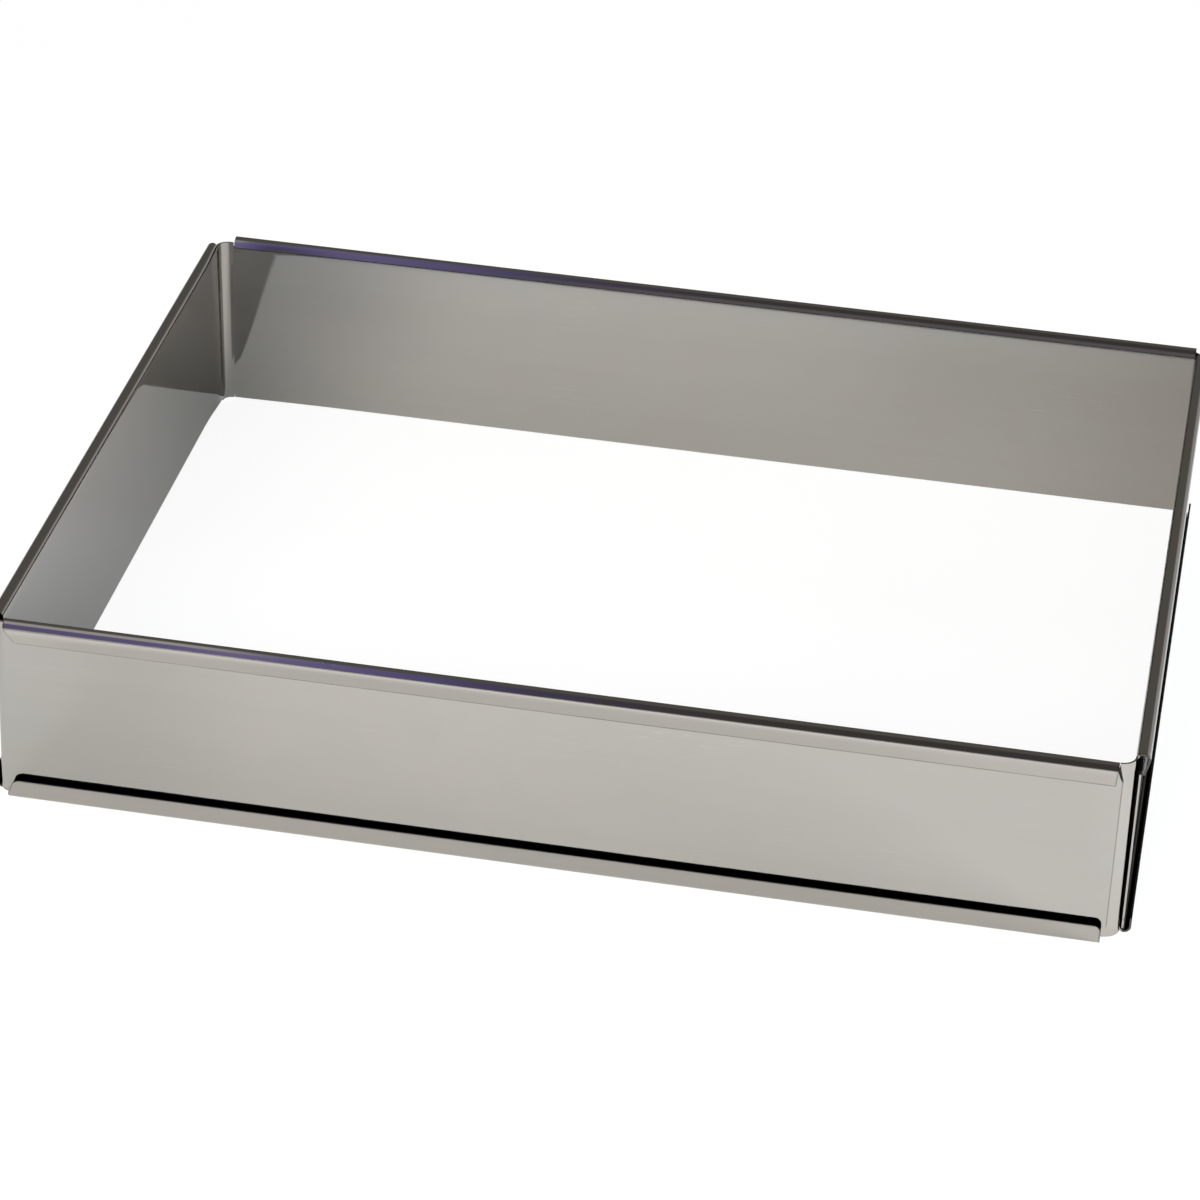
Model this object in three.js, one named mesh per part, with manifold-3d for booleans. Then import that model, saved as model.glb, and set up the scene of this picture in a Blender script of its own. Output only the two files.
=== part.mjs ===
// Adjustable cake frame: two angles with folded channels and two plain angles that slide in them.
// Millimetres, +Z up, shown closed. X runs along the long walls and Y along the short ones.
import * as THREE from 'three';
import { mergeVertices } from 'three/addons/utils/BufferGeometryUtils.js';
import Module from 'manifold-3d';

// Clear space inside the closed frame, and its height.
const INNER_LENGTH = 270;
const INNER_WIDTH = 208;
const HEIGHT = 50;

// The sheet, and the room left around a plate inside a channel.
const SHEET = 0.5;
const WEB_GAP = 0.7;
const LIP_GAP = 1.3;
const EDGE_GAP = 0.3;
const LIP_CLEARANCE = 0.3;

// The two folded lips of a channel.
const TOP_LIP = 6;
const BOTTOM_LIP = 5.4;
const FOLD_STEPS = 4;

// The rounded bend at each corner of the frame.
const BEND_RADIUS = 3;
const BEND_STEPS = 8;
const CORNER_DROP = 0.7;
const CORNER_LIFT = 0.3;

// Where channels and plates end, measured from the inner face of the next wall.
const FOLD_RELIEF = 0.4;
const CHANNEL_SHORT = 1;
const PLATE_SHORT = 2.1;

// How the ends of the lips and plates are trimmed.
const LIP_SLANT = 1;
const LIP_CHAMFER = 2.4;
const LIP_CORNER = 1.8;
const FLANGE_SLANT = 1;
const PLATE_TAPER = 1.4;
const PLATE_TAPER_HEIGHT = 4;

const FOLD_WIDTH = 3 * SHEET + WEB_GAP + LIP_GAP;
const FOLD_RADIUS = FOLD_WIDTH / 2;
const HALF_LENGTH = INNER_LENGTH / 2;
const HALF_WIDTH = INNER_WIDTH / 2;
const JOIN = 0.2;
const MARGIN = 2;

const wasm = await Module();
wasm.setup();

const UP = new THREE.Vector3(0, 0, 1);
const point = (x, y) => new THREE.Vector2(x, y);

// A closed manifold solid from a three.js geometry.
function solid(geometry) {
  const plain = geometry.index ? geometry.toNonIndexed() : geometry.clone();
  for (const name of Object.keys(plain.attributes)) {
    if (name !== 'position') {
      plain.deleteAttribute(name);
    }
  }
  const merged = mergeVertices(plain, 1e-5);
  const mesh = new wasm.Mesh({
    numProp: 3,
    vertProperties: new Float32Array(merged.attributes.position.array),
    triVerts: new Uint32Array(merged.index.array),
  });
  return new wasm.Manifold(mesh);
}

// A three.js geometry from a manifold solid.
function geometryOf(body) {
  const mesh = body.getMesh();
  const geometry = new THREE.BufferGeometry();
  geometry.setAttribute('position', new THREE.BufferAttribute(new Float32Array(mesh.vertProperties), 3));
  geometry.setIndex(new THREE.BufferAttribute(new Uint32Array(mesh.triVerts), 1));
  const flat = geometry.toNonIndexed();
  flat.computeVertexNormals();
  return flat;
}

// Corner points of an arc whose flats touch the true circle, angles in degrees.
function arc(centre, radius, from, to, steps) {
  const points = [];
  const step = THREE.MathUtils.degToRad((to - from) / steps);
  const reach = radius / Math.cos(step / 2);
  for (let i = 0; i < steps; i += 1) {
    const angle = THREE.MathUtils.degToRad(from) + step * (i + 0.5);
    points.push(point(centre.x + reach * Math.cos(angle), centre.y + reach * Math.sin(angle)));
  }
  return points;
}

// The outline of a sheet of even thickness laid along a middle line.
function ribbon(line, thickness) {
  const left = [];
  const right = [];
  line.forEach((here, i) => {
    const before = line[Math.max(i - 1, 0)];
    const after = line[Math.min(i + 1, line.length - 1)];
    const arrive = i > 0 ? here.clone().sub(before).normalize() : after.clone().sub(here).normalize();
    const leave = i < line.length - 1 ? after.clone().sub(here).normalize() : arrive;
    const across = point(-arrive.y - leave.y, arrive.x + leave.x).normalize();
    const reach = thickness / 2 / across.dot(point(-arrive.y, arrive.x));
    left.push(here.clone().addScaledVector(across, reach));
    right.push(here.clone().addScaledVector(across, -reach));
  });
  return [...left, ...right.reverse()];
}

// A prism: an outline in the plane of two directions, stretched along a third from one place to another.
function prism(outline, origin, across, upward, along, from, to) {
  const normal = new THREE.Vector3().crossVectors(across, upward);
  const start = normal.dot(along) > 0 ? from : -to;
  const shape = new THREE.Shape(outline);
  const geometry = new THREE.ExtrudeGeometry(shape, { depth: to - from, bevelEnabled: false, steps: 1 });
  geometry.translate(0, 0, start);
  const place = new THREE.Matrix4().makeBasis(across, upward, normal);
  geometry.applyMatrix4(place.setPosition(origin));
  return solid(geometry);
}

// Section of a channel: u is the way out from the inner face of its web, v is the height.
function channelSection() {
  const middle = FOLD_RADIUS - SHEET / 2;
  const low = point(FOLD_RADIUS, FOLD_RADIUS);
  const high = point(FOLD_RADIUS, HEIGHT - FOLD_RADIUS);
  const lip = point(2.5 * SHEET + WEB_GAP + LIP_CLEARANCE, HEIGHT - TOP_LIP);
  const toLip = lip.clone().sub(high);
  const turn = Math.atan2(toLip.y, toLip.x) + Math.acos(middle / toLip.length());
  const line = [
    point(FOLD_WIDTH - SHEET / 2, BOTTOM_LIP),
    ...arc(low, middle, 0, -90, FOLD_STEPS),
    ...arc(low, middle, -90, -180, FOLD_STEPS),
    ...arc(high, middle, 180, 90, FOLD_STEPS),
    ...arc(high, middle, 90, 0, FOLD_STEPS),
    ...arc(high, middle, 0, THREE.MathUtils.radToDeg(turn), 1),
    lip,
  ];
  return ribbon(line, SHEET);
}

// Height of the inside of a fold above its outside, at the face of the plate nearest the web.
function foldFloor() {
  const inside = FOLD_RADIUS - SHEET;
  const offset = FOLD_RADIUS - SHEET - WEB_GAP;
  return FOLD_RADIUS - Math.sqrt(inside * inside - offset * offset);
}

const PLATE_LOW = foldFloor() + EDGE_GAP;
const PLATE_HIGH = HEIGHT - PLATE_LOW;

// What is trimmed off the lips at the end by the channel's own corner, s along the arm from that end.
function ownEndTrims() {
  const lipLow = HEIGHT - TOP_LIP;
  const slant = [
    point(-MARGIN, HEIGHT - FOLD_RADIUS),
    point(0, HEIGHT - FOLD_RADIUS),
    point(LIP_SLANT, lipLow),
    point(LIP_SLANT, lipLow - MARGIN),
    point(-MARGIN, lipLow - MARGIN),
  ];
  const round = [
    point(-MARGIN, BOTTOM_LIP - LIP_CORNER),
    ...arc(point(LIP_CORNER, BOTTOM_LIP - LIP_CORNER), LIP_CORNER, 180, 90, BEND_STEPS),
    point(LIP_CORNER, BOTTOM_LIP + MARGIN),
    point(-MARGIN, BOTTOM_LIP + MARGIN),
  ];
  return [slant, round];
}

// What is trimmed off the lips at the free end of a channel.
function freeEndTrims() {
  const lipLow = HEIGHT - TOP_LIP;
  const chamfer = [
    point(-MARGIN, HEIGHT - FOLD_RADIUS),
    point(0, HEIGHT - FOLD_RADIUS),
    point(LIP_CHAMFER, lipLow),
    point(LIP_CHAMFER, lipLow - MARGIN),
    point(-MARGIN, lipLow - MARGIN),
  ];
  const flange = [
    point(-MARGIN, FOLD_RADIUS),
    point(0, FOLD_RADIUS),
    point(FLANGE_SLANT, BOTTOM_LIP - FLANGE_SLANT),
    point(FLANGE_SLANT + LIP_CORNER, BOTTOM_LIP),
    point(FLANGE_SLANT + LIP_CORNER, BOTTOM_LIP + MARGIN),
    point(-MARGIN, BOTTOM_LIP + MARGIN),
  ];
  return [chamfer, flange];
}

// One arm of a channel angle, from its own corner's end to its free end.
function channelArm(origin, out, along, length) {
  let arm = prism(channelSection(), origin, out, UP, along, 0, length);
  const lipZone = 2 * SHEET + WEB_GAP;
  for (const trim of ownEndTrims()) {
    arm = arm.subtract(prism(trim, origin, along, UP, out, lipZone, FOLD_WIDTH + MARGIN));
  }
  const end = origin.clone().addScaledVector(along, length);
  const back = along.clone().negate();
  for (const trim of freeEndTrims()) {
    arm = arm.subtract(prism(trim, end, back, UP, out, lipZone, FOLD_WIDTH + MARGIN));
  }
  return arm;
}

// Middle line of a bent sheet seen from above, for the front right corner at a given step out.
function cornerLine(step, startX, endY) {
  const centre = point(HALF_LENGTH + step - BEND_RADIUS - SHEET / 2, -HALF_WIDTH - step + BEND_RADIUS + SHEET / 2);
  return [
    point(startX, -HALF_WIDTH - step),
    ...arc(centre, BEND_RADIUS + SHEET / 2, -90, 0, BEND_STEPS),
    point(HALF_LENGTH + step, endY),
  ];
}

// The angle with two channels, at the front right corner.
function channelAngle() {
  const inset = BEND_RADIUS + FOLD_RELIEF;
  const west = new THREE.Vector3(-1, 0, 0);
  const north = new THREE.Vector3(0, 1, 0);
  const south = north.clone().negate();
  const east = west.clone().negate();
  const frontStart = new THREE.Vector3(HALF_LENGTH - inset, -HALF_WIDTH, 0);
  const rightStart = new THREE.Vector3(HALF_LENGTH, -HALF_WIDTH + inset, 0);
  const front = channelArm(frontStart, south, west, INNER_LENGTH - inset - CHANNEL_SHORT);
  const right = channelArm(rightStart, east, north, INNER_WIDTH - inset - CHANNEL_SHORT);
  const line = cornerLine(SHEET / 2, frontStart.x - JOIN, rightStart.y + JOIN);
  const corner = prism(
    ribbon(line, SHEET),
    new THREE.Vector3(),
    east,
    north,
    UP,
    CORNER_LIFT,
    HEIGHT - CORNER_DROP,
  );
  return front.add(right).add(corner);
}

// What is trimmed off the end of a plate so that it starts into a channel.
function plateTrims() {
  const upper = [
    point(-MARGIN, PLATE_HIGH - PLATE_TAPER_HEIGHT),
    point(0, PLATE_HIGH - PLATE_TAPER_HEIGHT),
    point(PLATE_TAPER, PLATE_HIGH),
    point(PLATE_TAPER, PLATE_HIGH + MARGIN),
    point(-MARGIN, PLATE_HIGH + MARGIN),
  ];
  const lower = upper.map((p) => point(p.x, HEIGHT - p.y));
  return [upper, lower];
}

// The plain angle, at the front left corner: the corner's line mirrored in X.
function plateAngle() {
  const step = 1.5 * SHEET + WEB_GAP;
  const endX = HALF_LENGTH - PLATE_SHORT;
  const endY = HALF_WIDTH - PLATE_SHORT;
  const line = cornerLine(step, -endX, endY).map((p) => point(-p.x, p.y));
  const east = new THREE.Vector3(1, 0, 0);
  const north = new THREE.Vector3(0, 1, 0);
  const west = east.clone().negate();
  const south = north.clone().negate();
  let plate = prism(ribbon(line, SHEET), new THREE.Vector3(), east, north, UP, PLATE_LOW, PLATE_HIGH);
  const reach = step + MARGIN;
  for (const trim of plateTrims()) {
    const frontEnd = new THREE.Vector3(endX, -HALF_WIDTH, 0);
    const leftEnd = new THREE.Vector3(-HALF_LENGTH, endY, 0);
    plate = plate.subtract(prism(trim, frontEnd, west, UP, south, 0, reach));
    plate = plate.subtract(prism(trim, leftEnd, south, UP, west, 0, reach));
  }
  return plate;
}

const steel = new THREE.MeshStandardMaterial({ color: 0xb9b7b2, metalness: 1, roughness: 0.25 });

// A named piece, turned half round for the opposite corner.
function piece(name, geometry, opposite) {
  const shape = geometry.clone();
  if (opposite) {
    shape.rotateZ(Math.PI);
  }
  const mesh = new THREE.Mesh(shape, steel);
  mesh.name = name;
  return mesh;
}

const frame = new THREE.Group();
frame.name = 'adjustable_cake_frame';
const channel = geometryOf(channelAngle());
const plate = geometryOf(plateAngle());
frame.add(piece('channel_angle_front_right', channel, false));
frame.add(piece('channel_angle_back_left', channel, true));
frame.add(piece('plate_angle_front_left', plate, false));
frame.add(piece('plate_angle_back_right', plate, true));

export default frame;
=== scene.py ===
"""Adjustable cake frame: bent stainless sheets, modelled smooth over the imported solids."""
import math

import bmesh
import bpy
from bpy.props import FloatProperty, FloatVectorProperty, IntProperty, PointerProperty
from mathutils import Matrix, Vector


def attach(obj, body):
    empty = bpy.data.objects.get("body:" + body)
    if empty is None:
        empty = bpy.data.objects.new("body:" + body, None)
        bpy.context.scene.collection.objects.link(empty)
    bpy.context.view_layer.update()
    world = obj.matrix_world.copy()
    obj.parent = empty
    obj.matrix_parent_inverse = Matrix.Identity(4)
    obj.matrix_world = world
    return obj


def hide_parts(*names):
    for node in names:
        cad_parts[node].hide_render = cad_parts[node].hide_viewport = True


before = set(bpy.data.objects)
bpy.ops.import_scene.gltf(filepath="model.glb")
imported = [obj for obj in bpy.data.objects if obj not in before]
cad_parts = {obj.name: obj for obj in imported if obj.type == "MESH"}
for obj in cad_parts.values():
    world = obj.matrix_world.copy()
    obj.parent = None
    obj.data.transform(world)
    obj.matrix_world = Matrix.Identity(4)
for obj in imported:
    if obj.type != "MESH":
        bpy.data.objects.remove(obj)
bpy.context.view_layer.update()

bl_info = {
    "name": "Adjustable cake frame",
    "version": (1, 0, 0),
    "blender": (4, 5, 0),
    "location": "View3D > Sidebar > Cake frame",
    "description": "Folded channel angles and plain plate angles of an adjustable cake frame",
    "category": "Object",
}

MM = 0.001
NEAR = 1e-6
TURN_NEAR = 1e-4

# Loops: shares of a wall's height, of the draw's reach, of a long arm and of a bottom lip where they lie
WEB_LEVELS = (0.2, 0.4, 0.6, 0.7, 0.8)
DRAW_SHARES = (0, 0.15, 0.3, 0.45, 0.6, 0.8, 1, 1.25, 1.5, 1.9, 2.5)
ARM_SHARES = (0.4, 0.6, 0.8)
FLANGE_LEVELS = (0.0, 0.4, 0.6, 0.72, 0.82, 0.9, 0.96, 1.0)
TOP_LIP_STEPS = 4
SLIT_SHARE = 0.3
LIP_MARGIN = 1.3

# Long walls' top folds: tilt in degrees after each first step, and height by the own corner over a round one
FOLD_TILTS = (6, 13.5, 13.7, 15.5)
OWN_OVAL = 1.04

# Other shape values: curve of the bottom lip's free end, angles for cut edges and for smooth shading
FLANGE_POWER = 1.6
CUT_ANGLE = math.radians(50)
SMOOTH_ANGLE = math.radians(15)

# Noise over the blank: waves per metre along and across it, detail and roughness
GRAIN = (22.0, 1500.0, 4.0, 0.6)
STREAK = (5.0, 260.0, 2.0, 0.5)
HAZE = (38.0, 46.0, 3.0, 0.5)
CLOUD = (9.0, 16.0, 1.0, 0.5)
TINT = (60.0, 70.0, 2.0, 0.5)
SCRATCHED = (30.0, 40.0, 1.0, 0.5)

# Depth of the grain, of the soft waves and of a scratch, in metres
GRAIN_DEPTH = 0.00001
CLOUD_DEPTH = 0.00008
SCRATCH_DEPTH = 0.000004

# Cut edges, in metres in from the blank's outline: the cut itself, and the end of the painted shade line
# beside it
CUT_EDGE = (0.00003, 0.00009)
EDGE_LINE = (0.0002, 0.0004)

# Folds, in metres past the web's top and bottom on the blank: where their ends by the corner start to show
# and take the cut edges' painted shade
TOP_FOLD = (0.0011, 0.0012)
LOW_FOLD = (-0.0019, -0.0018)

# Painted shade on the bottom lips, on the top lips and on a plate beside its bend
LOW_SHADE = 0.14
TOP_SHADE = 0.06
PLATE_SHADE = 0.12

# Steel: cooler tint, scuffed scratch colour, reflectance at grazing angles, darkest painted shade and painted
# shade line beside a cut
COOL_TINT = (0.965, 1.0, 1.02)
RUBBED = (0.60, 0.59, 0.57, 1.0)
GRAZING = (0.72, 0.72, 0.72, 1.0)
DARK_SHARE = 0.05
LINE_SHARE = 0.45

# Floor: size, near and far colour, stretch along X and distances between which it changes
FLOOR_SIZE = 12
NEAR_FLOOR = (0.93, 0.93, 0.93, 1)
FAR_FLOOR = (0.30, 0.295, 0.30, 1)
FLOOR_STRETCH = 2.2
FLOOR_FADE = (0.22, 0.62)

# Floor: shares of plain white that the camera and the mirrors see
SEEN_WHITE = 0.9
MIRRORED_WHITE = 0.12

# Room: colours of the window from left to right, the horizon, the back, the pale panel and the right glow
WINDOW = (
    (0.0, (0.10, 0.095, 0.10)), (0.5, (0.22, 0.19, 0.36)), (0.72, (0.25, 0.22, 0.46)),
    (0.77, (0.36, 0.325, 0.64)), (0.85, (0.22, 0.19, 0.46)), (0.89, (0.14, 0.128, 0.24)),
    (0.94, (0.11, 0.10, 0.125)), (1.0, (0.10, 0.095, 0.094)),
)
HORIZON = (0.225, 0.21, 0.235, 1)
BACK_DIM = (0.19, 0.18, 0.165, 1)
PALE_PANEL = (0.74, 0.71, 0.74, 1)
RIGHT_GLOW = (0.66, 0.64, 0.65, 1)
WHITE = (1.0, 1.0, 1.0, 1)

# Room: parts of a direction, X to the right, Y to the back and Z up, between which each of these fades
WINDOW_X = (-0.60, -0.10)
HORIZON_X = (-0.20, -0.12)
HORIZON_Z = (0.08, 0.22)
BACK_Y = (-0.15, 0.0)
PANEL_X = (-0.227, -0.200)
PANEL_Y = (-0.05, 0.2)
PANEL_Z = (0.66, 0.82)
GLOW_X = (0.08, 0.35)
GLOW_Y = (0.2, 0.5)
GLOW_Z = (0.16, 0.42)

# Lamps: name, place, power and colour
LAMPS = (
    ("front_left_lamp", (-1.09, -3.0, 1.16), 280, (1.0, 0.935, 0.865)),
    ("front_right_lamp", (1.09, -3.0, 1.16), 125, (0.91, 1.0, 1.0)),
    ("right_lamp", (3.1, 1.13, 0.82), 150, (0.96, 0.94, 1.0)),
    ("back_lamp", (0.0, 3.19, 1.16), 142, (0.78, 0.93, 1.0)),
)
LAMP_SIZE = 2.0
LAMP_TARGET = Vector((0, 0, 0.02))

# Camera: place, turn from the Y axis, tilt and roll in degrees, focal length and image width in pixels
CAMERA_PLACE = (0.1491, -0.9766, 0.6034)
CAMERA_TURNS = (9.13, 30.88, 2.50)
FOCAL_PIXELS = 4462
IMAGE_PIXELS = 1200
SENSOR = 36.0


def length(name, description, millimetres):
    """A length property, given in millimetres."""
    return FloatProperty(name=name, description=description, default=millimetres * MM,
                         min=0.0, precision=5, unit="LENGTH", subtype="DISTANCE")


class SheetSizes(bpy.types.PropertyGroup):
    """Sizes of the folded sheets."""
    inner_length: length("Inner length", "Clear length inside the closed frame", 270)
    inner_width: length("Inner width", "Clear width inside the closed frame", 208)
    height: length("Height", "Height of the walls over the folds", 50)
    sheet: length("Sheet", "Thickness of the sheet", 0.5)
    web_gap: length("Web gap", "Room between a web and the plate beside it", 0.7)
    lip_gap: length("Lip gap", "Room between the plate and a lip where it leaves the fold", 1.3)
    lip_clearance: length("Lip clearance", "Room between the plate and the edge of the top lip", 0.3)
    edge_gap: length("Edge gap", "Room between the plate's edge and the fold around it", 0.3)
    top_lip: length("Top lip", "Height of the top lip with its fold", 6)
    bottom_lip: length("Bottom lip", "Height of the bottom lip with its fold", 5.4)
    bend_radius: length("Bend radius", "Inner radius of the corner bends", 3)
    corner_drop: length("Corner drop", "How far a corner's top edge lies below the folds", 0.7)
    corner_lift: length("Corner lift", "How far a corner's lower edge lies above the folds", 0.75)
    fold_relief: length("Fold relief", "Straight sheet between a bend and the folds", 0.4)
    channel_short: length("Channel end", "Gap from a channel's free end to the next wall", 1)
    plate_short: length("Plate end", "Gap from a plate's end to the next wall", 2.1)
    lip_slant: length("Lip slant", "Slant of the top lip at its own corner", 0.3)
    lip_chamfer: length("Lip chamfer", "Slant of the top lip at its free end", 2.4)
    lip_corner: length("Lip corner", "Rounding of the bottom lip's end", 1.8)
    flange_slant: length("Flange slant", "Slant of the bottom lip at its free end", 1)
    plate_taper: length("Plate taper", "How much a plate's end tapers", 1.4)
    plate_taper_height: length("Taper height", "Height of the taper at a plate's end", 4)
    plate_bend: length("Plate bend", "Inner radius of the plates' bends", 2.2)
    bend_draw: length("Bend draw", "How far the back left webs are drawn inward beside their bend", 0.75)
    bend_lean: length("Bend lean", "How far the left web leans outward over its height beside the bend", 1.2)
    bend_bulge: length("Bend bulge", "How far the front right web stands outward beside its bend", 0.25)
    side_bulge: length("Side bulge", "How far the right web stands outward beside its bend at the floor", 0.3)
    bend_widening: length("Bend widening", "How much wider the back left bend is at the floor", 0.9)
    draw_reach: length("Draw reach", "How far along the wall that draw reaches", 17)
    back_reach: length("Back reach", "How much further the back wall's web runs than the front one's", 0.95)
    ease_radius: length("Ease radius", "Radius over which a long web starts to lean into its top fold", 6)
    kink_radius: length("Kink radius", "Radius of the tighter turn above that", 1)
    flat_radius: length("Flat radius", "Radius of the nearly flat slope below the crown of that fold", 30)
    fold_oval: FloatProperty(name="Fold oval", default=1.45, min=1.0, max=2.0,
                             description="Height of a long wall's top fold at its free end over a round one")
    edge_round: length("Edge round", "Rounding of the sheet's cut edges", 0.06)
    fold_steps: IntProperty(name="Fold steps", description="Segments of each fold", default=28, min=4, max=64)
    bend_steps: IntProperty(name="Bend steps", description="Segments of each bend", default=16, min=4, max=64)


class SheetFinish(bpy.types.PropertyGroup):
    """Colour and polish of the stainless sheet."""
    colour: FloatVectorProperty(name="Colour", description="Colour of the bare sheet", subtype="COLOR",
                                size=3, default=(0.360, 0.347, 0.326), min=0.0, max=1.0)
    roughness: FloatProperty(name="Roughness", description="Roughness of clean sheet", default=0.03,
                             min=0.0, max=1.0, subtype="FACTOR")
    grain: FloatProperty(name="Grain", description="Depth of the rolling grain", default=0.35,
                         min=0.0, max=2.0, subtype="FACTOR")


class FoldPlan:
    """Lines and arcs that the sheets of one frame share, worked out from its sizes."""

    def __init__(self, sizes):
        self.a = sizes.inner_length / 2
        self.b = sizes.inner_width / 2
        self.height = sizes.height
        self.sheet = sizes.sheet
        self.fold = (3 * sizes.sheet + sizes.web_gap + sizes.lip_gap) / 2
        self.mid = self.fold - sizes.sheet / 2
        self.low = self.fold
        self.high = sizes.height - self.fold
        self.lip_u = 2.5 * sizes.sheet + sizes.web_gap + sizes.lip_clearance
        self.lip_z = sizes.height - sizes.top_lip
        du, dz = self.lip_u - self.fold, self.lip_z - self.high
        reach = math.hypot(du, dz)
        self.lean = -(math.atan2(dz, du) + math.acos(self.mid / reach))
        self.lip_run = math.sqrt(reach * reach - self.mid * self.mid)
        self.bend = sizes.bend_radius + sizes.sheet / 2
        self.centre_x = self.a - sizes.bend_radius
        self.centre_y = -self.b + sizes.bend_radius
        inside = self.fold - sizes.sheet
        offset = self.fold - sizes.sheet - sizes.web_gap
        self.plate_low = self.fold - math.sqrt(inside * inside - offset * offset) + sizes.edge_gap
        self.plate_high = sizes.height - self.plate_low
        self.lay_arcs(sizes)

    def lay_arcs(self, sizes):
        """Lay out the arcs of a long wall's top fold from the web to the crown, and find where they start."""
        self.arcs = []
        turn = tilt = u = z = 0.0
        step = (math.pi + self.lean) / sizes.fold_steps
        radii = (sizes.ease_radius, sizes.kink_radius, sizes.flat_radius, sizes.flat_radius, 0.0)
        for number, (degrees, radius) in enumerate(zip((*FOLD_TILTS, 90), radii), 1):
            last_turn = number * step if radius else math.pi / 2
            last_tilt = math.radians(degrees)
            radius = radius or (self.fold - u) / math.cos(tilt)
            self.arcs.append((turn, last_turn, tilt, last_tilt, radius, u, z))
            u += radius * (math.cos(tilt) - math.cos(last_tilt))
            z += radius * (math.sin(last_tilt) - math.sin(tilt))
            turn, tilt = last_turn, last_tilt
        self.crown = sizes.height - z

    def ease_in(self, u, z):
        """Move a point of the round top fold's web side onto those arcs."""
        turn = math.atan2(z - self.high, self.fold - u)
        half = self.sheet / 2
        for first, last, tilt, last_tilt, radius, u_0, z_0 in self.arcs:
            if turn <= last + NEAR:
                break
        now = tilt + (last_tilt - tilt) * (turn - first) / (last - first)
        return (u_0 + radius * (math.cos(tilt) - math.cos(now)) + half * math.cos(now),
                self.crown + z_0 + radius * (math.sin(now) - math.sin(tilt)) - half * math.sin(now))

    def drape(self, u, z, oval):
        """Move a point of the round top fold's lip side, or of its lip, onto an oval and a straight lip."""
        turn = math.atan2(z - self.high, self.fold - u) % (2 * math.pi)
        round_end = math.pi + self.lean
        oval_z = self.height - self.sheet / 2 - oval * self.mid
        du, dz = self.lip_u - self.fold, (self.lip_z - oval_z) / oval
        oval_end = math.pi - math.atan2(dz, du) - math.acos(self.mid / math.hypot(du, dz))
        share = (turn - math.pi / 2) / (round_end - math.pi / 2)
        now = math.pi / 2 + min(share, 1.0) * (oval_end - math.pi / 2)
        u_now = self.fold - self.mid * math.cos(now)
        z_now = oval_z + oval * self.mid * math.sin(now)
        if turn <= round_end + TURN_NEAR:
            return u_now, z_now
        along = self.run_along_lip(u, z) / self.lip_run
        return u_now + (self.lip_u - u_now) * along, z_now + (self.lip_z - z_now) * along

    def run_along_lip(self, u, z):
        """Length along the straight top lip from the round fold's end to a point on it."""
        far = math.hypot(u - self.fold, z - self.high)
        return math.sqrt(max(far * far - self.mid * self.mid, 0.0))

    def top_edge(self):
        """Length along the section from the floor's level to the edge of the top lip."""
        return self.high + self.mid * (math.pi + self.lean) + self.lip_run

    def low_edge(self, bottom_lip):
        """Length along the section to the edge of the bottom lip, below zero."""
        return self.low - self.mid * math.pi - (bottom_lip - self.low)

    def along_section(self, u, z):
        """Place along the flat blank's width of a point u out from the web, z up."""
        if u < self.sheet / 2 + NEAR and self.low - NEAR <= z <= self.high + NEAR:
            return z
        if z > self.height / 2:
            turn = math.atan2(z - self.high, self.fold - u) % (2 * math.pi)
            if turn <= math.pi + self.lean + TURN_NEAR:
                return self.high + self.mid * turn
            return self.high + self.mid * (math.pi + self.lean) + self.run_along_lip(u, z)
        if z > self.low and u > self.fold:
            return self.low - self.mid * math.pi - (z - self.low)
        return self.low - self.mid * (math.atan2(self.low - z, self.fold - u) % (2 * math.pi))


def deselect_all():
    """Leave edit mode and deselect every object."""
    if bpy.context.object and bpy.context.object.mode != "OBJECT":
        bpy.ops.object.mode_set(mode="OBJECT")
    bpy.ops.object.select_all(action="DESELECT")


def upright_plane(name, x0, x1, y, z0, z1):
    """A plane standing along X, left in edit mode, facing -Y."""
    deselect_all()
    middle = ((x0 + x1) / 2, y, (z0 + z1) / 2)
    bpy.ops.mesh.primitive_plane_add(size=1, location=middle, rotation=(math.pi / 2, 0, 0))
    piece = bpy.context.object
    piece.name = name
    piece.data.name = name
    piece.scale = (x1 - x0, z1 - z0, 1)
    bpy.ops.object.transform_apply(location=True, rotation=True, scale=True)
    bpy.ops.object.mode_set(mode="EDIT")
    bpy.ops.mesh.select_mode(type="EDGE")
    return piece


def select_edges(piece, test):
    """Select in edit mode the edges whose two ends both pass the test."""
    mesh = bmesh.from_edit_mesh(piece.data)
    bpy.ops.mesh.select_all(action="DESELECT")
    chosen = 0
    for edge in mesh.edges:
        if all(test(vertex.co) for vertex in edge.verts):
            edge.select_set(True)
            chosen += 1
    bmesh.update_edit_mesh(piece.data)
    if not chosen:
        raise RuntimeError(f"no edge chosen on {piece.name}")


def extrude(x=0.0, y=0.0, z=0.0):
    """Extrude the selected edges by a step."""
    bpy.ops.mesh.extrude_edges_move(TRANSFORM_OT_translate={"value": (x, y, z)})


def spin(steps, angle, center, axis):
    """Spin the selected edges about an axis by the right-hand rule; the operator turns the other way."""
    bpy.ops.mesh.spin(steps=steps, angle=-angle, center=center, axis=axis)


def move_vertices(piece, place):
    """Move each vertex in edit mode to the place a function gives for it."""
    mesh = bmesh.from_edit_mesh(piece.data)
    for vertex in mesh.verts:
        vertex.co = place(vertex.co.copy())
    bmesh.update_edit_mesh(piece.data)


def bisect_across(piece, axis, places):
    """Cut a piece in edit mode across an axis at each of the given places."""
    normal = [float(name == axis) for name in "xyz"]
    for place in places:
        bpy.ops.mesh.select_all(action="SELECT")
        bpy.ops.mesh.bisect(plane_co=[place * n for n in normal], plane_no=normal)


def same(value, target):
    """Whether two lengths agree to within a thousandth of a millimetre."""
    return abs(value - target) < NEAR


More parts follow.
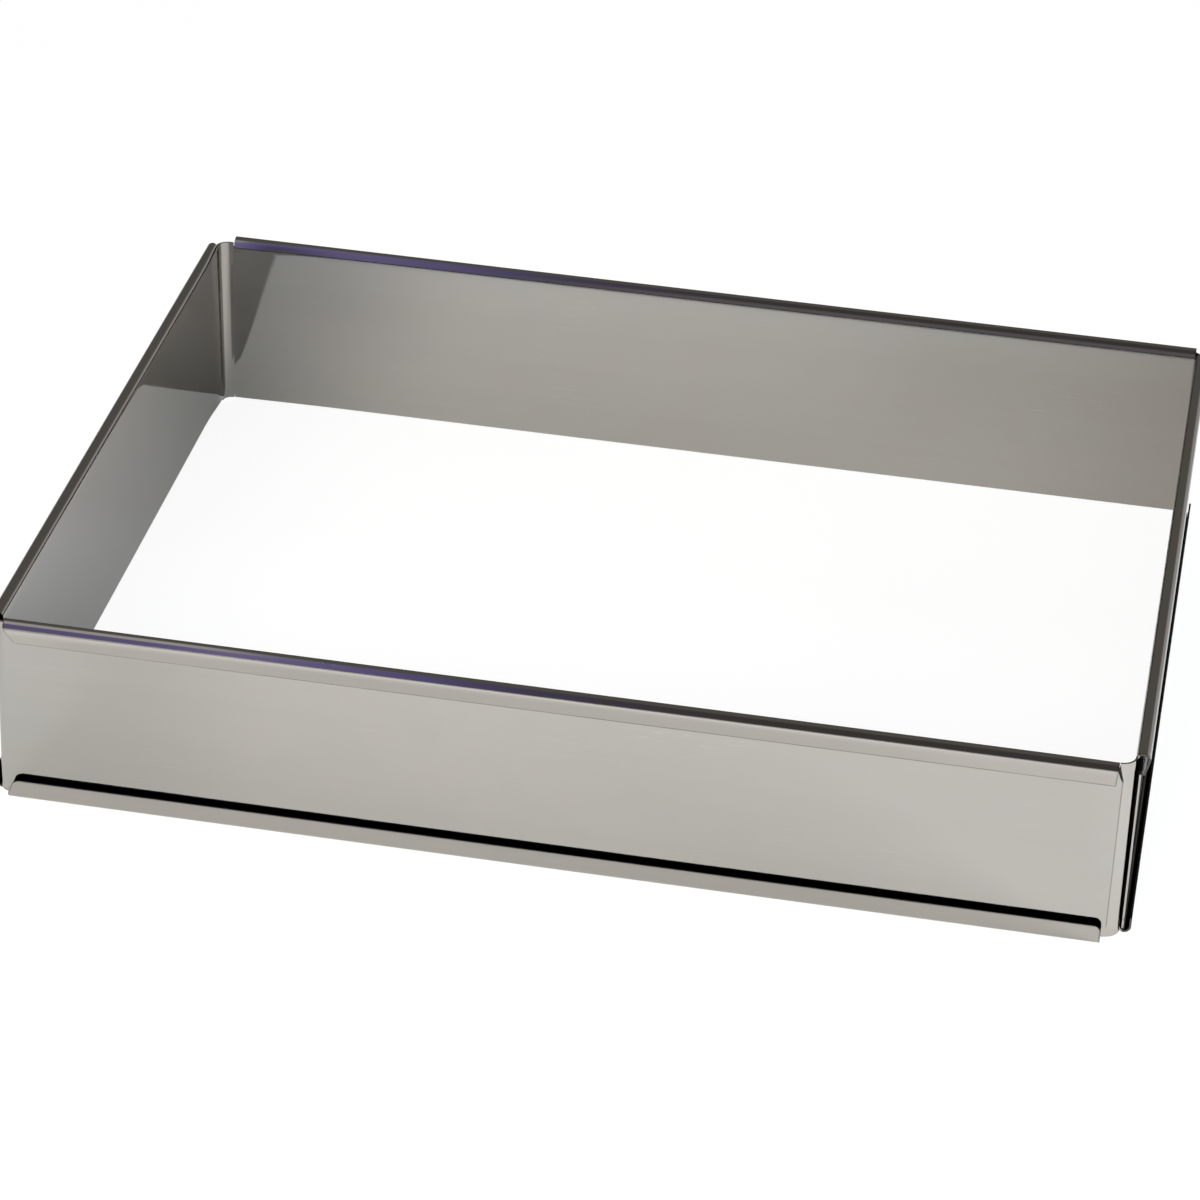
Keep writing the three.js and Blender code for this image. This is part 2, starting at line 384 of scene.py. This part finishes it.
def fold_out(piece, plan, sizes, edge, out):
    """Fold a web's top and bottom edges outward into the two lips of a channel."""
    axis = Vector((0, 0, 1)).cross(out)
    web = out * (plan.a if out.x else plan.b)
    select_edges(piece, lambda co: edge(co) and same(co.z, plan.high))
    pin = web + out * plan.fold + Vector((0, 0, plan.high))
    spin(steps=sizes.fold_steps, angle=math.pi + plan.lean, center=pin, axis=axis)
    run = out * (-math.sin(plan.lean) * plan.lip_run) + Vector((0, 0, -math.cos(plan.lean) * plan.lip_run))
    for _ in range(TOP_LIP_STEPS):
        extrude(*(run / TOP_LIP_STEPS))
    select_edges(piece, lambda co: edge(co) and same(co.z, plan.low))
    pin = web + out * plan.fold + Vector((0, 0, plan.low))
    spin(steps=sizes.fold_steps, angle=-math.pi, center=pin, axis=axis)
    rise = sizes.bottom_lip - plan.low
    for before, after in zip(FLANGE_LEVELS, FLANGE_LEVELS[1:]):
        extrude(z=rise * (after - before))


def lip_trims(plan, sizes):
    """How far the ends of the lips are cut back at a height: by the own corner, and at the free end."""
    rise = plan.high - plan.lip_z

    def own(z):
        if z > plan.height / 2:
            return sizes.lip_slant * min(max((plan.high - z) / rise, 0.0), 1.0)
        up = z - (sizes.bottom_lip - sizes.lip_corner)
        if up <= 0:
            return 0.0
        return sizes.lip_corner - math.sqrt(max(sizes.lip_corner ** 2 - min(up, sizes.lip_corner) ** 2, 0.0))

    def free(z):
        if z > plan.height / 2:
            return sizes.lip_chamfer * min(max((plan.high - z) / rise, 0.0), 1.0)
        shoulder = sizes.bottom_lip - sizes.flange_slant
        if z <= plan.low:
            return 0.0
        if z <= shoulder:
            return sizes.flange_slant * (z - plan.low) / (shoulder - plan.low)
        return sizes.flange_slant + sizes.lip_corner * ((z - shoulder) / sizes.flange_slant) ** FLANGE_POWER

    return own, free


def lay_out_blank(piece, place):
    """Give a sheet a UV map that is its flat blank in metres."""
    layer = piece.data.uv_layers.active or piece.data.uv_layers.new(name="blank")
    layer.name = "blank"
    for loop in piece.data.loops:
        layer.data[loop.index].uv = place(piece.data.vertices[loop.vertex_index].co)


def thicken(piece, sizes):
    """Give a bent surface the sheet's thickness and softly rounded cut edges."""
    bpy.ops.object.mode_set(mode="EDIT")
    bpy.ops.mesh.select_all(action="SELECT")
    bpy.ops.mesh.remove_doubles(threshold=NEAR)
    bpy.ops.mesh.normals_make_consistent(inside=False)
    bpy.ops.object.mode_set(mode="OBJECT")
    wall = piece.modifiers.new("sheet", "SOLIDIFY")
    wall.thickness = sizes.sheet
    wall.offset = 0.0
    wall.use_even_offset = True
    edge = piece.modifiers.new("cut_edge", "BEVEL")
    edge.width = sizes.edge_round
    edge.segments = 2
    edge.limit_method = "ANGLE"
    edge.angle_limit = CUT_ANGLE
    for modifier in ("sheet", "cut_edge"):
        bpy.ops.object.modifier_apply(modifier=modifier)
    bpy.ops.object.mode_set(mode="EDIT")
    bpy.ops.mesh.select_all(action="SELECT")
    bpy.ops.mesh.normals_make_consistent(inside=False)
    bpy.ops.object.mode_set(mode="OBJECT")
    bpy.ops.object.shade_smooth_by_angle(angle=SMOOTH_ANGLE)


def half_turned(piece, name):
    """A copy of a sheet with its own mesh, turned half round for the opposite corner."""
    deselect_all()
    piece.select_set(True)
    bpy.context.view_layer.objects.active = piece
    bpy.ops.object.duplicate(linked=False)
    twin = bpy.context.object
    twin.name = name
    twin.data.name = name
    bpy.ops.transform.rotate(value=math.pi, orient_axis="Z", center_override=(0, 0, 0))
    bpy.ops.object.transform_apply(location=True, rotation=True, scale=True)
    return twin


def build_channel_angle(sizes):
    """Model the channel angle of the front right corner."""
    plan = FoldPlan(sizes)
    half = sizes.sheet / 2
    own_x = plan.centre_x - sizes.fold_relief
    own_y = plan.centre_y + sizes.fold_relief
    free_x = -(plan.a - sizes.channel_short)
    free_y = plan.b - sizes.channel_short
    slit = sizes.fold_relief * SLIT_SHARE
    piece = upright_plane("channel_front_right", free_x, own_x, -plan.b - half, plan.low, plan.high)
    levels = [plan.low + sizes.fold_relief, *(plan.height * share for share in WEB_LEVELS)]
    bisect_across(piece, "z", (*levels, plan.crown - sizes.fold_relief))

    select_edges(piece, lambda co: same(co.x, own_x))
    extrude(x=slit)
    extrude(x=sizes.fold_relief - slit)
    spin(steps=sizes.bend_steps, angle=math.pi / 2, center=(plan.centre_x, plan.centre_y, 0), axis=(0, 0, 1))
    extrude(y=sizes.fold_relief - slit)
    extrude(y=slit)
    extrude(y=free_y - own_y)
    reaches = [LIP_MARGIN * sizes.lip_corner + sizes.draw_reach * share for share in DRAW_SHARES]
    spread = [(own_x - free_x) * share for share in ARM_SHARES]
    bisect_across(piece, "x", [own_x - reach for reach in reaches + spread])
    bisect_across(piece, "y", [own_y + reach for reach in reaches])

    def in_corner(co):
        return co.x > own_x + slit - NEAR and co.y < own_y - slit + NEAR

    def on_front(co):
        return co.x < own_x + NEAR and same(co.y, -plan.b - half)

    def on_right(co):
        return co.y > own_y - NEAR and same(co.x, plan.a + half)

    select_edges(piece, lambda co: in_corner(co) and same(co.z, plan.high))
    extrude(z=plan.height - sizes.corner_drop - plan.high)
    select_edges(piece, lambda co: in_corner(co) and same(co.z, plan.low))
    extrude(z=sizes.corner_lift - plan.low)
    fold_out(piece, plan, sizes, on_front, Vector((0, -1, 0)))
    fold_out(piece, plan, sizes, on_right, Vector((1, 0, 0)))

    bpy.ops.object.mode_set(mode="OBJECT")
    bend_run = plan.bend * math.pi / 2

    def on_blank(co):
        if co.x <= own_x + NEAR:
            return co.x - plan.centre_x, plan.along_section(-co.y - plan.b, co.z)
        if co.y >= own_y - NEAR:
            return bend_run + co.y - plan.centre_y, plan.along_section(co.x - plan.a, co.z)
        if co.x <= plan.centre_x:
            return co.x - plan.centre_x, co.z
        if co.y >= plan.centre_y:
            return bend_run + co.y - plan.centre_y, co.z
        return plan.bend * math.atan2(co.x - plan.centre_x, plan.centre_y - co.y), co.z

    lay_out_blank(piece, on_blank)

    own, free = lip_trims(plan, sizes)

    def trimmed(co):
        along_front = co.x < own_x + NEAR
        along_right = co.y > own_y - NEAR
        out = -co.y - plan.b if along_front else co.x - plan.a
        if along_front and out < plan.fold and co.z > plan.high - NEAR:
            out, co.z = plan.ease_in(out, co.z)
            co.y = -plan.b - out
        elif along_front and co.z > plan.height / 2 and out > plan.fold - NEAR:
            share = (own_x - co.x) / (own_x - free_x)
            out, co.z = plan.drape(out, co.z, OWN_OVAL + (sizes.fold_oval - OWN_OVAL) * share * share)
            co.y = -plan.b - out
        if out <= plan.fold:
            return co
        if along_front:
            if same(co.x, own_x):
                co.x -= own(co.z)
            elif same(co.x, free_x):
                co.x += free(co.z)
        elif along_right:
            if same(co.y, own_y):
                co.y += own(co.z)
            elif same(co.y, free_y):
                co.y -= free(co.z)
        return co

    bpy.ops.object.mode_set(mode="EDIT")
    move_vertices(piece, trimmed)
    bpy.ops.object.mode_set(mode="OBJECT")
    return piece


def widen_bend(plan, x, y, grow):
    """How far a point on a bend, or on a web beside it, moves in X and Y when the bend's radius grows."""
    eighth = plan.bend * math.pi / 4
    if x > plan.centre_x and y < plan.centre_y:
        along = plan.bend * math.atan2(x - plan.centre_x, plan.centre_y - y) - eighth
    elif y < plan.centre_y:
        along = x - plan.centre_x - eighth
    else:
        along = y - plan.centre_y + eighth
    if abs(along) >= eighth + grow:
        return 0.0, 0.0
    turn = math.pi / 4 * (1 + along / (eighth + grow))
    wide = plan.bend + grow
    base_x = min(x, plan.a + plan.sheet / 2)
    base_y = max(y, -plan.b - plan.sheet / 2)
    return (plan.centre_x - grow + wide * math.sin(turn) - base_x,
            plan.centre_y + grow - wide * math.cos(turn) - base_y)


def shape_corner(piece, sizes, side, draws, reaches, longer, widening):
    """Draw a channel's webs in beside its bend, widen the bend at the floor and lengthen its long arm.

    The draws are those of the long arm, and of the short arm at the floor and at the top. Lips stay in place.
    """
    plan = FoldPlan(sizes)
    half = sizes.sheet / 2
    near_end = -plan.a + 2 * sizes.top_lip
    by_long, at_floor, at_top = draws

    def shaped(co):
        x, y, z = co.x * side, co.y * side, co.z
        wider_x, wider_y = widen_bend(plan, x, y, widening * (1 - z / plan.height) ** 2)
        inner = 1.0
        by_short = at_floor + (at_top - at_floor) * z / plan.height
        if x > plan.centre_x and y < plan.centre_y:
            turn = math.atan2(x - plan.centre_x, plan.centre_y - y) / (math.pi / 2)
            draw_x, draw_y = -turn * by_short, (1 - turn) * by_long
        elif y < plan.centre_y:
            inner = max(1 - max(-y - plan.b - half, 0) / plan.fold, 0)
            draw_x, draw_y = 0.0, by_long * math.exp(-((plan.centre_x - x) / reaches[0]) ** 2)
        else:
            inner = max(1 - max(x - plan.a - half, 0) / plan.fold, 0)
            draw_x, draw_y = -by_short * math.exp(-((y - plan.centre_y) / reaches[1]) ** 2), 0.0
        x, y = x + (draw_x + wider_x) * inner, y + (draw_y + wider_y) * inner
        if x < near_end:
            x -= longer
        return Vector((x * side, y * side, z))

    deselect_all()
    piece.select_set(True)
    bpy.context.view_layer.objects.active = piece
    bpy.ops.object.mode_set(mode="EDIT")
    move_vertices(piece, shaped)
    bpy.ops.object.mode_set(mode="OBJECT")
    thicken(piece, sizes)


def build_plate_angle(sizes):
    """Model the plain plate angle of the front left corner."""
    plan = FoldPlan(sizes)
    step = 1.5 * sizes.sheet + sizes.web_gap
    end_x = plan.a - sizes.plate_short
    end_y = plan.b - sizes.plate_short
    bend = sizes.plate_bend + sizes.sheet / 2
    centre_x = -plan.a - step + bend
    centre_y = -plan.b - step + bend
    taper = sizes.plate_taper_height
    low, high = plan.plate_low, plan.plate_high
    piece = upright_plane("plate_front_left", centre_x, end_x, -plan.b - step, low, high)
    bisect_across(piece, "z", (low + taper, high - taper))
    bisect_across(piece, "x", (centre_x + sizes.fold_relief,))
    select_edges(piece, lambda co: same(co.x, centre_x))
    spin(steps=sizes.bend_steps, angle=-math.pi / 2, center=(centre_x, centre_y, 0), axis=(0, 0, 1))
    extrude(y=sizes.fold_relief)
    extrude(y=end_y - centre_y - sizes.fold_relief)

    def tapered(co):
        over = max(low + taper - co.z, co.z - high + taper, 0.0)
        cut = sizes.plate_taper * over / taper
        if same(co.x, end_x):
            co.x -= cut
        elif same(co.y, end_y):
            co.y -= cut
        return co

    move_vertices(piece, tapered)
    bpy.ops.object.mode_set(mode="OBJECT")
    bend_run = bend * math.pi / 2

    def on_blank(co):
        if co.x >= centre_x:
            return co.x - centre_x, co.z
        if co.y >= centre_y:
            return centre_y - co.y - bend_run, co.z
        return -bend * math.atan2(centre_x - co.x, centre_y - co.y), co.z

    lay_out_blank(piece, on_blank)
    thicken(piece, sizes)
    return piece


class Wire:
    """A socket of a node tree; arithmetic on it adds Math nodes."""

    def __init__(self, tree, socket=None):
        self.tree = tree
        self.socket = socket

    def make(self, kind, settings=None, inputs=None, output=0):
        """Add a node, set it up, fill its sockets and return one of its outputs."""
        node = self.tree.nodes.new(kind)
        for key, value in (settings or {}).items():
            if key == "stops":
                ramp = node.color_ramp.elements
                while len(ramp) < len(value):
                    ramp.new(0.5)
                for element, (place, colour) in zip(ramp, value):
                    element.position = place
                    element.color = (*colour, 1.0)
            else:
                setattr(node, key, value)
        for key, value in (inputs or {}).items():
            if isinstance(value, Wire):
                self.tree.links.new(value.socket, node.inputs[key])
            else:
                node.inputs[key].default_value = value
        return Wire(self.tree, node.outputs[output])

    def math(self, operation, *values):
        """Add a Math node on the given values."""
        return self.make("ShaderNodeMath", {"operation": operation}, dict(enumerate(values)))

    def __add__(self, other):
        return self.math("ADD", self, other)

    def __radd__(self, other):
        return self.math("ADD", other, self)

    def __sub__(self, other):
        return self.math("SUBTRACT", self, other)

    def __rsub__(self, other):
        return self.math("SUBTRACT", other, self)

    def __mul__(self, other):
        return self.math("MULTIPLY", self, other)

    def __rmul__(self, other):
        return self.math("MULTIPLY", other, self)

    def __abs__(self):
        return self.math("ABSOLUTE", self)

    def smooth(self, start, end):
        """0 before start, 1 after end, eased between."""
        return self.make("ShaderNodeMapRange", {"interpolation_type": "SMOOTHSTEP"},
                         {"Value": self, "From Min": start, "From Max": end})

    def noise(self, x, y, detail=2.0, roughness=0.5):
        """Noise over two stretched coordinates."""
        place = self.make("ShaderNodeCombineXYZ", None, {0: x, 1: y})
        return self.make("ShaderNodeTexNoise", None,
                         {"Vector": place, "Scale": 1.0, "Detail": detail, "Roughness": roughness})

    def mix(self, factor, first, second):
        """Mix two colours."""
        return self.make("ShaderNodeMix", {"data_type": "RGBA"}, {0: factor, 6: first, 7: second}, output=2)


def stainless_material(name, finish, seed, blank):
    """Bright rolled stainless sheet: grain along its length, haze, faint scratches and rougher cut edges.
    Painted shade darkens the cut edges and a line beside them, the lips, and a plate by its bend and at its
    ends.
    """
    colour = [c * k for c, k in zip(finish.colour, blank["tone"])]

    def part(share):
        return (*[c * share for c in colour], 1.0)

    material = bpy.data.materials.new(name)
    material.use_nodes = True
    tree = material.node_tree
    shader = tree.nodes["Principled BSDF"]
    start = Wire(tree)
    s = start.make("ShaderNodeSeparateXYZ", None, {0: start.make("ShaderNodeUVMap", {"uv_map": "blank"})})
    v = Wire(tree, s.socket.node.outputs[1])

    def over_blank(pattern, shift):
        along, across, detail, roughness = pattern
        return start.noise(s * along + shift, v * across, detail, roughness)

    grain, streak, haze, cloud = (over_blank(pattern, seed) for pattern in (GRAIN, STREAK, HAZE, CLOUD))
    tint = over_blank(TINT, -seed)
    line = start.noise(s * 70.0 + v * 420.0 + seed, v * 900.0 - s * 40.0, detail=1.0)
    where = over_blank(SCRATCHED, -seed)
    scratch = (1.0 - abs(line - 0.5).smooth(0.0, 0.012)) * where.smooth(0.56, 0.68)

    across = start.math("MINIMUM", v - blank["width"][0], blank["width"][1] - v)
    along = start.math("MINIMUM", s - blank["length"][0], blank["length"][1] - s)
    inset = start.math("MINIMUM", across, along)
    if "folds" in blank:
        low, high, first, last = blank["folds"]
        over = v.smooth(*(high + past for past in TOP_FOLD))
        under = 1.0 - v.smooth(*(low + past for past in LOW_FOLD))
        in_fold = start.math("MAXIMUM", over, under)
        fold_end = start.math("MINIMUM", abs(s - first), abs(s - last)) + (1.0 - in_fold)
        inset = start.math("MINIMUM", inset, fold_end)
    # Painted shade: a dark line just in from the cut edges and the folds' ends, broken up by haze
    beside = inset.smooth(*CUT_EDGE) * (1.0 - inset.smooth(*EDGE_LINE)) * (haze * 1.4)
    cut = 1.0 - inset.smooth(*CUT_EDGE)

    tone = start.make("ShaderNodeValToRGB", {"stops": [
        (0.30, [c * 0.95 for c in colour]),
        (0.70, [c * 1.05 for c in colour]),
    ]}, {0: cloud * 0.7 + streak * 0.2 + grain * 0.1})
    cool = [c * k for c, k in zip(colour, COOL_TINT)]
    tinted = start.mix(tint.smooth(0.4, 0.7) * 0.5, tone, (*cool, 1.0))
    rubbed_and_shaded = start.mix(scratch * 0.12, tinted, RUBBED)
    if "folds" in blank:
        # Painted shade: the bottom lips darker and, fainter, the top lips
        shaded = (1.0 - v.smooth(low - 0.003, low)) * LOW_SHADE
        shaded = shaded + v.smooth(high + 0.003, high + 0.006) * TOP_SHADE
    else:
        foot, slope = blank["taper"]
        # Painted shadow: a near-black wedge at each end of a plate, above the start of its taper
        gap = v.smooth(foot - 0.0025, foot + 0.001) * 0.0006 - along + (v - foot) * slope
        # Painted shade: the plate darker near its bend
        shade_by_bend = (1.0 - abs(s).smooth(0.02, 0.07)) * PLATE_SHADE
        shaded = start.math("MAXIMUM", shade_by_bend, gap.smooth(0.0, 0.0001))
    # Painted shade takes the colour towards its darkest share
    rubbed_and_shaded = start.mix(shaded, rubbed_and_shaded, part(DARK_SHARE))
    # Painted shade line beside the cut edges
    line_shaded = start.mix(beside, rubbed_and_shaded, part(LINE_SHARE))
    # Painted shade on the cut edges: they keep the blank's cut_tone share of the colour
    edge_shaded = start.mix(cut, line_shaded, part(blank["cut_tone"]))
    tree.links.new(edge_shaded.socket, shader.inputs["Base Color"])
    rough = finish.roughness + haze.smooth(0.45, 0.8) * 0.04 + grain * 0.02
    rough = rough + scratch * 0.08 + (beside + cut) * 0.2
    tree.links.new(rough.socket, shader.inputs["Roughness"])
    shader.inputs["Metallic"].default_value = 1.0
    shader.inputs["Specular Tint"].default_value = GRAZING
    height = grain * GRAIN_DEPTH + cloud * CLOUD_DEPTH - scratch * SCRATCH_DEPTH
    bump = start.make("ShaderNodeBump", None, {"Strength": finish.grain, "Distance": 1.0, "Height": height})
    tree.links.new(bump.socket, shader.inputs["Normal"])
    return material


def dress(piece, material, body, node):
    """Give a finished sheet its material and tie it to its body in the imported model."""
    piece.data.materials.clear()
    piece.data.materials.append(material)
    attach(piece, body)
    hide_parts(node)


class CAKEFRAME_OT_channel_angles(bpy.types.Operator):
    """Model the two channel angles of the cake frame"""
    bl_idname = "cakeframe.channel_angles"
    bl_label = "Channel angles"
    bl_options = {"REGISTER", "UNDO"}

    def execute(self, context):
        sizes = context.scene.cake_frame_sizes
        plan = FoldPlan(sizes)
        first = build_channel_angle(sizes)
        second = half_turned(first, "channel_back_left")
        reach = sizes.draw_reach
        bulges = (-sizes.bend_bulge, -sizes.side_bulge, 0.0)
        shape_corner(first, sizes, 1, bulges, (reach / 2, reach / 2), 0.0, 0.0)
        draws = (sizes.bend_draw, sizes.bend_draw, sizes.bend_draw - sizes.bend_lean)
        shape_corner(second, sizes, -1, draws, (reach, reach / 2), sizes.back_reach, sizes.bend_widening)
        own = sizes.fold_relief
        bend_run = plan.bend * math.pi / 2
        blank = {
            "width": (plan.low_edge(sizes.bottom_lip), plan.top_edge()),
            "length": (-plan.a + sizes.channel_short - plan.centre_x,
                       bend_run + plan.b - sizes.channel_short - plan.centre_y),
            "folds": (plan.low, plan.high, -own, bend_run + own),
            # Share of the colour kept on the cut edges: a dark painted shade
            "cut_tone": 0.22,
            "tone": (1.0, 0.998, 0.992),
        }
        pairs = ((first, "front_right", 3.1), (second, "back_left", 11.7))
        for piece, body, seed in pairs:
            steel = stainless_material(f"stainless_{body}", context.scene.cake_frame_finish, seed, blank)
            dress(piece, steel, body, f"channel_angle_{body}")
        return {"FINISHED"}


class CAKEFRAME_OT_plate_angles(bpy.types.Operator):
    """Model the two plain plate angles of the cake frame"""
    bl_idname = "cakeframe.plate_angles"
    bl_label = "Plate angles"
    bl_options = {"REGISTER", "UNDO"}

    def execute(self, context):
        sizes = context.scene.cake_frame_sizes
        plan = FoldPlan(sizes)
        first = build_plate_angle(sizes)
        second = half_turned(first, "plate_back_right")
        bend = sizes.plate_bend + sizes.sheet / 2
        corner = 1.5 * sizes.sheet + sizes.web_gap - bend
        blank = {
            "width": (plan.plate_low, plan.plate_high),
            "length": (-(2 * plan.b - sizes.plate_short + corner) - bend * math.pi / 2,
                       2 * plan.a - sizes.plate_short + corner),
            # Share of the colour kept on the cut edges: a slight painted shade
            "cut_tone": 0.95,
            "tone": (0.99, 0.998, 1.006),
            "taper": (plan.plate_high - sizes.plate_taper_height,
                      sizes.plate_taper / sizes.plate_taper_height),
        }
        pairs = ((first, "front_left", 7.3), (second, "back_right", 19.9))
        for piece, body, seed in pairs:
            steel = stainless_material(f"stainless_{body}", context.scene.cake_frame_finish, seed, blank)
            dress(piece, steel, body, f"plate_angle_{body}")
        return {"FINISHED"}


def lay_floor():
    """A broad pale floor that shows white and keeps the soft shadow of the frame."""
    deselect_all()
    bpy.ops.mesh.primitive_plane_add(size=FLOOR_SIZE, location=(0, 0, 0))
    floor = bpy.context.object
    floor.name = "floor"
    material = bpy.data.materials.new("pale_floor")
    material.use_nodes = True
    tree = material.node_tree
    shader = tree.nodes["Principled BSDF"]
    shader.inputs["Roughness"].default_value = 0.9
    shader.inputs["Specular IOR Level"].default_value = 0.0
    start = Wire(tree)
    x = start.make("ShaderNodeSeparateXYZ", None, {0: start.make("ShaderNodeTexCoord", output=3)})
    y = Wire(tree, x.socket.node.outputs[1])
    far = start.math("SQRT", x * x * FLOOR_STRETCH + y * y).smooth(*FLOOR_FADE)
    pale = start.mix(far, NEAR_FLOOR, FAR_FLOOR)
    tree.links.new(pale.socket, shader.inputs["Base Color"])
    camera_ray = start.make("ShaderNodeLightPath", output=0)
    rays = camera_ray.socket.node.outputs
    glossy, through = (Wire(tree, rays[name]) for name in ("Is Glossy Ray", "Is Transmission Ray"))
    mirror_ray = start.math("MAXIMUM", glossy, through)
    glow = start.make("ShaderNodeEmission", None, {"Color": WHITE, "Strength": 1.0})
    seen = camera_ray * (far * (1.0 - SEEN_WHITE) + SEEN_WHITE)
    share = start.math("MAXIMUM", seen, mirror_ray * MIRRORED_WHITE)
    surface = start.make("ShaderNodeMixShader", None, {0: share, 1: Wire(tree, shader.outputs[0]), 2: glow})
    tree.links.new(surface.socket, tree.nodes["Material Output"].inputs["Surface"])
    floor.data.materials.append(material)


def paint_room():
    """The room: dark in front, dusky window and pale panel at the left, dim behind, light at the right."""
    world = bpy.context.scene.world or bpy.data.worlds.new("room")
    bpy.context.scene.world = world
    world.use_nodes = True
    tree = world.node_tree
    tree.nodes.clear()
    start = Wire(tree)
    way = start.make("ShaderNodeTexCoord", output=0)
    across = start.make("ShaderNodeSeparateXYZ", None, {0: way})
    deep, up = (Wire(tree, across.socket.node.outputs[i]) for i in (1, 2))
    first, last = WINDOW_X
    side = start.make("ShaderNodeMapRange", None, {"Value": across, "From Min": first, "From Max": last})
    window = start.make("ShaderNodeValToRGB", {"stops": WINDOW}, {0: side})
    low = (1.0 - up.smooth(*HORIZON_Z)) * across.smooth(*HORIZON_X)
    faced = start.mix(low, window, HORIZON)
    dim = start.mix(deep.smooth(*BACK_Y), faced, BACK_DIM)
    panel = up.smooth(*PANEL_Z) * (1.0 - across.smooth(*PANEL_X)) * (1.0 - deep.smooth(*PANEL_Y))
    lit = start.mix(panel, dim, PALE_PANEL)
    glow = across.smooth(*GLOW_X) * (1.0 - up.smooth(*GLOW_Z)) * deep.smooth(*GLOW_Y)
    room = start.mix(glow, lit, RIGHT_GLOW)
    seen = start.make("ShaderNodeLightPath", output=0)
    colour = start.mix(seen, room, WHITE)
    light = start.make("ShaderNodeBackground", None, {"Color": colour, "Strength": 1.0})
    out = tree.nodes.new("ShaderNodeOutputWorld")
    tree.links.new(light.socket, out.inputs["Surface"])


def hang_lamp(name, place, power, colour):
    """A soft square lamp aimed at the middle of the frame."""
    deselect_all()
    bpy.ops.object.light_add(type="AREA", location=place)
    lamp = bpy.context.object
    lamp.name = name
    lamp.data.shape = "SQUARE"
    lamp.data.size = LAMP_SIZE
    lamp.data.energy = power
    lamp.data.color = colour
    lamp.rotation_euler = (LAMP_TARGET - Vector(place)).to_track_quat("-Z", "Y").to_euler()
    lamp.visible_glossy = False


def set_camera():
    """The camera of the photograph, solved from the frame's straight edges."""
    azimuth, elevation, roll = (math.radians(turn) for turn in CAMERA_TURNS)
    forward = Vector((-math.sin(azimuth) * math.cos(elevation), math.cos(azimuth) * math.cos(elevation),
                      -math.sin(elevation)))
    right = Vector((math.cos(azimuth), math.sin(azimuth), 0))
    up = right.cross(forward)
    turned_right = right * math.cos(roll) + up * math.sin(roll)
    turned_up = up * math.cos(roll) - right * math.sin(roll)
    deselect_all()
    bpy.ops.object.camera_add(location=CAMERA_PLACE)
    camera = bpy.context.object
    camera.name = "camera"
    axes = Matrix((turned_right, turned_up, -forward)).transposed()
    camera.rotation_euler = axes.to_euler()
    camera.data.sensor_width = SENSOR
    camera.data.sensor_height = SENSOR
    camera.data.sensor_fit = "HORIZONTAL"
    camera.data.lens = FOCAL_PIXELS / IMAGE_PIXELS * SENSOR
    camera.data.clip_end = 50
    bpy.context.scene.camera = camera


class CAKEFRAME_OT_stage(bpy.types.Operator):
    """Lay the floor, paint the room, hang the lamps and set the camera"""
    bl_idname = "cakeframe.stage"
    bl_label = "Stage"
    bl_options = {"REGISTER", "UNDO"}

    def execute(self, context):
        lay_floor()
        paint_room()
        for lamp in LAMPS:
            hang_lamp(*lamp)
        set_camera()
        context.scene.view_settings.view_transform = "Standard"
        return {"FINISHED"}


class CAKEFRAME_PT_panel(bpy.types.Panel):
    """Sizes, finish and pieces of the cake frame"""
    bl_label = "Cake frame"
    bl_idname = "CAKEFRAME_PT_panel"
    bl_space_type = "VIEW_3D"
    bl_region_type = "UI"
    bl_category = "Cake frame"

    def draw(self, context):
        layout = self.layout
        for group in (context.scene.cake_frame_sizes, context.scene.cake_frame_finish):
            for name in group.__annotations__:
                layout.prop(group, name)
        for operator in OPERATORS:
            layout.operator(operator.bl_idname)


OPERATORS = (CAKEFRAME_OT_channel_angles, CAKEFRAME_OT_plate_angles, CAKEFRAME_OT_stage)
CLASSES = (SheetSizes, SheetFinish, *OPERATORS, CAKEFRAME_PT_panel)


def register():
    """Register the classes and hang the settings on the scene."""
    for cls in CLASSES:
        bpy.utils.register_class(cls)
    bpy.types.Scene.cake_frame_sizes = PointerProperty(type=SheetSizes)
    bpy.types.Scene.cake_frame_finish = PointerProperty(type=SheetFinish)


def unregister():
    """Take the settings off the scene and unregister the classes."""
    del bpy.types.Scene.cake_frame_finish
    del bpy.types.Scene.cake_frame_sizes
    for cls in reversed(CLASSES):
        bpy.utils.unregister_class(cls)


def main():
    """Make every piece and the stage."""
    register()
    bpy.ops.cakeframe.channel_angles()
    bpy.ops.cakeframe.plate_angles()
    bpy.ops.cakeframe.stage()


if __name__ == "__main__":
    main()
